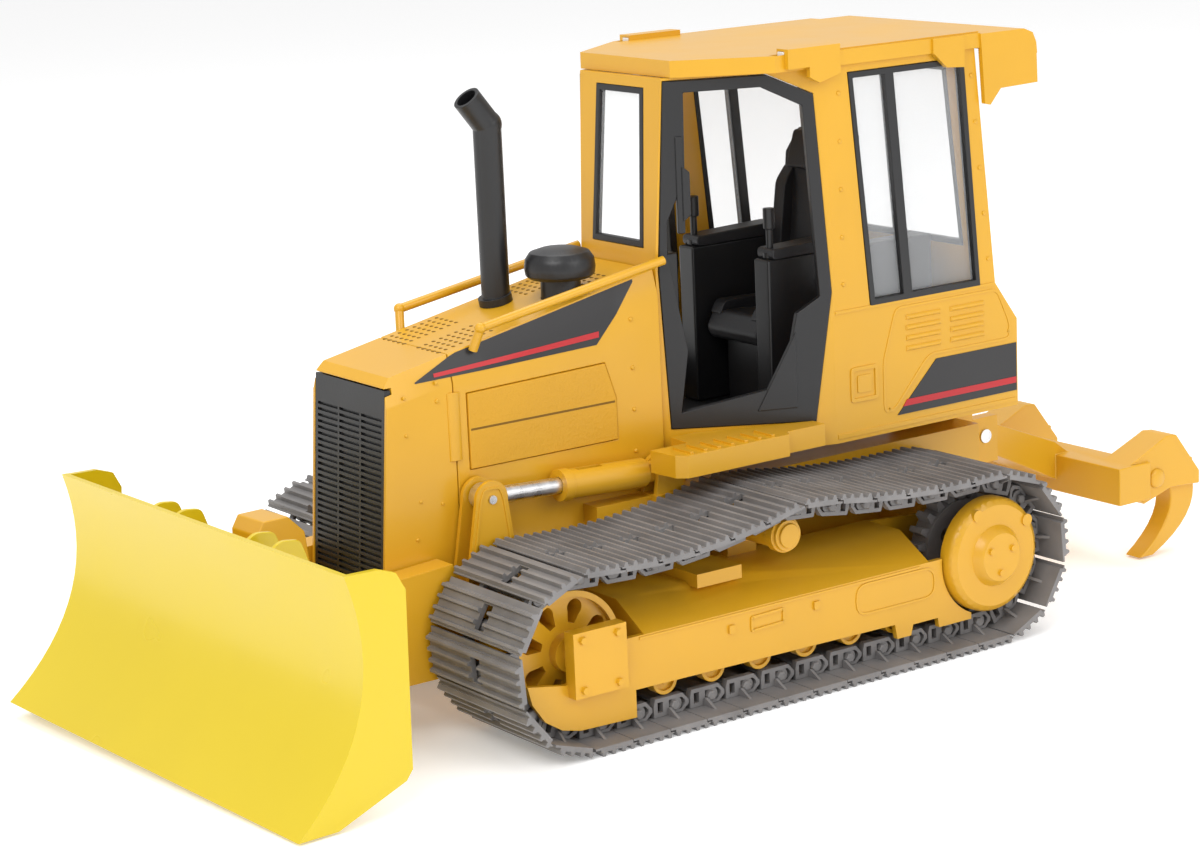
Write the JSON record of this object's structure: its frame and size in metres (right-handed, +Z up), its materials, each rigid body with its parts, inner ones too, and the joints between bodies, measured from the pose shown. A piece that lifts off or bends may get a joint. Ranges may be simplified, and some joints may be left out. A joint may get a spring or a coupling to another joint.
{
  "type": "toy bulldozer",
  "caption": "Toy crawler bulldozer with angled blade on a lifting C-frame, glazed cab, two tracks and a rear ripper.",
  "frame": {"origin": "middle of the overall box, on the ground under the tracks", "axes": "+Z up, the blade faces -Y, the ripper trails towards +Y, the machine's left side is +X"},
  "size_m": [0.172, 0.4246, 0.2045],
  "materials": {
    "body_yellow": "satin",
    "blade_yellow": "gloss",
    "black_plastic": "satin",
    "track_grey": "satin",
    "steel": "satin",
    "clear_glazing": "clear",
    "lamp_white": "gloss",
    "decal": "satin"
  },
  "bodies": {
    "machine": {"chassis": "body_yellow", "pivot_pins": "steel", "radiator_shell": "body_yellow", "grille": "black_plastic", "hood": "body_yellow", "side_panels": "body_yellow", "exhaust_pipe": "black_plastic", "air_cleaner": "black_plastic", "handrails": "body_yellow", "cab_shell": "body_yellow", "cab_roof": "body_yellow", "roof_lights": "lamp_white", "window_frames": "black_plastic", "window_panes": "clear_glazing", "cab_floor": "black_plastic", "console": "black_plastic", "levers": "black_plastic", "seat": "black_plastic", "steps": "body_yellow", "decals": "decal", "track_frame_left": "body_yellow", "final_drive_left": "body_yellow", "track_links_left": "track_grey", "track_shoes_left": "track_grey", "door_frame_left": "black_plastic", "track_frame_right": "body_yellow", "final_drive_right": "body_yellow", "track_links_right": "track_grey", "track_shoes_right": "track_grey", "door_frame_right": "black_plastic"},
    "lift_frame": {"c_frame": "body_yellow", "arm_pins": "steel"},
    "blade_yoke": {"blade_yoke": "body_yellow", "yoke_pin": "steel"},
    "blade": {"blade": "blade_yellow"},
    "ripper": {"ripper_frame": "body_yellow", "ripper_shank_left": "body_yellow", "ripper_shank_right": "body_yellow"},
    "lift_barrel_left": {"lift_barrel_left": "body_yellow"},
    "lift_rod_left": {"lift_rod_left": "steel"},
    "lift_barrel_right": {"lift_barrel_right": "body_yellow"},
    "lift_rod_right": {"lift_rod_right": "steel"},
    "sprocket_left": {"sprocket_left": "track_grey"},
    "idler_left": {"idler_left": "body_yellow"},
    "carrier_roller_left": {"carrier_roller_left": "body_yellow"},
    "track_roller_left_1": {"track_roller_left_1": "body_yellow"},
    "track_roller_left_2": {"track_roller_left_2": "body_yellow"},
    "track_roller_left_3": {"track_roller_left_3": "body_yellow"},
    "track_roller_left_4": {"track_roller_left_4": "body_yellow"},
    "track_roller_left_5": {"track_roller_left_5": "body_yellow"},
    "track_roller_left_6": {"track_roller_left_6": "body_yellow"},
    "sprocket_right": {"sprocket_right": "track_grey"},
    "idler_right": {"idler_right": "body_yellow"},
    "carrier_roller_right": {"carrier_roller_right": "body_yellow"},
    "track_roller_right_1": {"track_roller_right_1": "body_yellow"},
    "track_roller_right_2": {"track_roller_right_2": "body_yellow"},
    "track_roller_right_3": {"track_roller_right_3": "body_yellow"},
    "track_roller_right_4": {"track_roller_right_4": "body_yellow"},
    "track_roller_right_5": {"track_roller_right_5": "body_yellow"},
    "track_roller_right_6": {"track_roller_right_6": "body_yellow"}
  },
  "joints": [
    {"name": "blade_lift", "type": "hinge", "parent": "machine", "child": "lift_frame", "pos_m": [0, -0.06401, 0.025], "axis": [-1, 0, 0], "range_deg": [0, 17]},
    {"name": "blade_angle", "type": "hinge", "parent": "lift_frame", "child": "blade_yoke", "pos_m": [0, -0.15301, 0.034], "axis": [0, 0, 1], "range_deg": [-10, 6]},
    {"name": "blade_tilt", "type": "hinge", "parent": "blade_yoke", "child": "blade", "pos_m": [0, -0.15301, 0.034], "axis": [-0.0628, 0.998, 0], "range_deg": [-4, 0.8]},
    {"name": "ripper_lift", "type": "hinge", "parent": "machine", "child": "ripper", "pos_m": [0, 0.12899, 0.053], "axis": [1, 0, 0], "range_deg": [0, 24]},
    {"name": "lift_barrel_left_tilt", "type": "hinge", "parent": "machine", "child": "lift_barrel_left", "pos_m": [0.02815, -0.02401, 0.0695], "axis": [-1, 0, 0], "range_deg": [-0.1, 7.88]},
    {"name": "lift_rod_left_slide", "type": "slide", "parent": "lift_barrel_left", "child": "lift_rod_left", "axis": [0, 0.9988, -0.0499], "range_m": [-0.0001, 0.01469]},
    {"name": "lift_barrel_right_tilt", "type": "hinge", "parent": "machine", "child": "lift_barrel_right", "pos_m": [-0.02815, -0.02401, 0.0695], "axis": [-1, 0, 0], "range_deg": [-0.1, 7.88]},
    {"name": "lift_rod_right_slide", "type": "slide", "parent": "lift_barrel_right", "child": "lift_rod_right", "axis": [0, 0.9988, -0.0499], "range_m": [-0.0001, 0.01469]},
    {"name": "left_drive", "type": "hinge", "parent": "machine", "child": "sprocket_left", "pos_m": [0.059, 0.07669, 0.03053], "axis": [1, 0, 0], "continuous": true},
    {"name": "idler_left_spin", "type": "hinge", "parent": "machine", "child": "idler_left", "pos_m": [0.059, -0.09251, 0.03053], "axis": [1, 0, 0], "continuous": true},
    {"name": "carrier_roller_left_spin", "type": "hinge", "parent": "machine", "child": "carrier_roller_left", "pos_m": [0.059, -0.00622, 0.05185], "axis": [1, 0, 0], "continuous": true},
    {"name": "track_roller_left_1_spin", "type": "hinge", "parent": "machine", "child": "track_roller_left_1", "pos_m": [0.059, -0.05791, 0.0146], "axis": [1, 0, 0], "continuous": true},
    {"name": "track_roller_left_2_spin", "type": "hinge", "parent": "machine", "child": "track_roller_left_2", "pos_m": [0.059, -0.03877, 0.0146], "axis": [1, 0, 0], "continuous": true},
    {"name": "track_roller_left_3_spin", "type": "hinge", "parent": "machine", "child": "track_roller_left_3", "pos_m": [0.059, -0.01963, 0.0146], "axis": [1, 0, 0], "continuous": true},
    {"name": "track_roller_left_4_spin", "type": "hinge", "parent": "machine", "child": "track_roller_left_4", "pos_m": [0.059, -0.00049, 0.0146], "axis": [1, 0, 0], "continuous": true},
    {"name": "track_roller_left_5_spin", "type": "hinge", "parent": "machine", "child": "track_roller_left_5", "pos_m": [0.059, 0.01865, 0.0146], "axis": [1, 0, 0], "continuous": true},
    {"name": "track_roller_left_6_spin", "type": "hinge", "parent": "machine", "child": "track_roller_left_6", "pos_m": [0.059, 0.03779, 0.0146], "axis": [1, 0, 0], "continuous": true},
    {"name": "right_drive", "type": "hinge", "parent": "machine", "child": "sprocket_right", "pos_m": [-0.059, 0.07669, 0.03053], "axis": [1, 0, 0], "continuous": true},
    {"name": "idler_right_spin", "type": "hinge", "parent": "machine", "child": "idler_right", "pos_m": [-0.059, -0.09251, 0.03053], "axis": [1, 0, 0], "continuous": true},
    {"name": "carrier_roller_right_spin", "type": "hinge", "parent": "machine", "child": "carrier_roller_right", "pos_m": [-0.059, -0.00622, 0.05185], "axis": [1, 0, 0], "continuous": true},
    {"name": "track_roller_right_1_spin", "type": "hinge", "parent": "machine", "child": "track_roller_right_1", "pos_m": [-0.059, -0.05791, 0.0146], "axis": [1, 0, 0], "continuous": true},
    {"name": "track_roller_right_2_spin", "type": "hinge", "parent": "machine", "child": "track_roller_right_2", "pos_m": [-0.059, -0.03877, 0.0146], "axis": [1, 0, 0], "continuous": true},
    {"name": "track_roller_right_3_spin", "type": "hinge", "parent": "machine", "child": "track_roller_right_3", "pos_m": [-0.059, -0.01963, 0.0146], "axis": [1, 0, 0], "continuous": true},
    {"name": "track_roller_right_4_spin", "type": "hinge", "parent": "machine", "child": "track_roller_right_4", "pos_m": [-0.059, -0.00049, 0.0146], "axis": [1, 0, 0], "continuous": true},
    {"name": "track_roller_right_5_spin", "type": "hinge", "parent": "machine", "child": "track_roller_right_5", "pos_m": [-0.059, 0.01865, 0.0146], "axis": [1, 0, 0], "continuous": true},
    {"name": "track_roller_right_6_spin", "type": "hinge", "parent": "machine", "child": "track_roller_right_6", "pos_m": [-0.059, 0.03779, 0.0146], "axis": [1, 0, 0], "continuous": true}
  ],
  "couplings": [
    {"joint": "lift_barrel_left_tilt", "follows": "blade_lift", "ratio": 0.45189},
    {"joint": "lift_rod_left_slide", "follows": "blade_lift", "m_per_rad": 0.048847},
    {"joint": "lift_barrel_right_tilt", "follows": "blade_lift", "ratio": 0.45189},
    {"joint": "lift_rod_right_slide", "follows": "blade_lift", "m_per_rad": 0.048847},
    {"joint": "idler_left_spin", "follows": "left_drive", "ratio": 1},
    {"joint": "carrier_roller_left_spin", "follows": "left_drive", "ratio": 4.0712},
    {"joint": "track_roller_left_1_spin", "follows": "left_drive", "ratio": 5.089},
    {"joint": "track_roller_left_2_spin", "follows": "left_drive", "ratio": 5.089},
    {"joint": "track_roller_left_3_spin", "follows": "left_drive", "ratio": 5.089},
    {"joint": "track_roller_left_4_spin", "follows": "left_drive", "ratio": 5.089},
    {"joint": "track_roller_left_5_spin", "follows": "left_drive", "ratio": 5.089},
    {"joint": "track_roller_left_6_spin", "follows": "left_drive", "ratio": 5.089},
    {"joint": "idler_right_spin", "follows": "right_drive", "ratio": 1},
    {"joint": "carrier_roller_right_spin", "follows": "right_drive", "ratio": 4.0712},
    {"joint": "track_roller_right_1_spin", "follows": "right_drive", "ratio": 5.089},
    {"joint": "track_roller_right_2_spin", "follows": "right_drive", "ratio": 5.089},
    {"joint": "track_roller_right_3_spin", "follows": "right_drive", "ratio": 5.089},
    {"joint": "track_roller_right_4_spin", "follows": "right_drive", "ratio": 5.089},
    {"joint": "track_roller_right_5_spin", "follows": "right_drive", "ratio": 5.089},
    {"joint": "track_roller_right_6_spin", "follows": "right_drive", "ratio": 5.089}
  ]
}
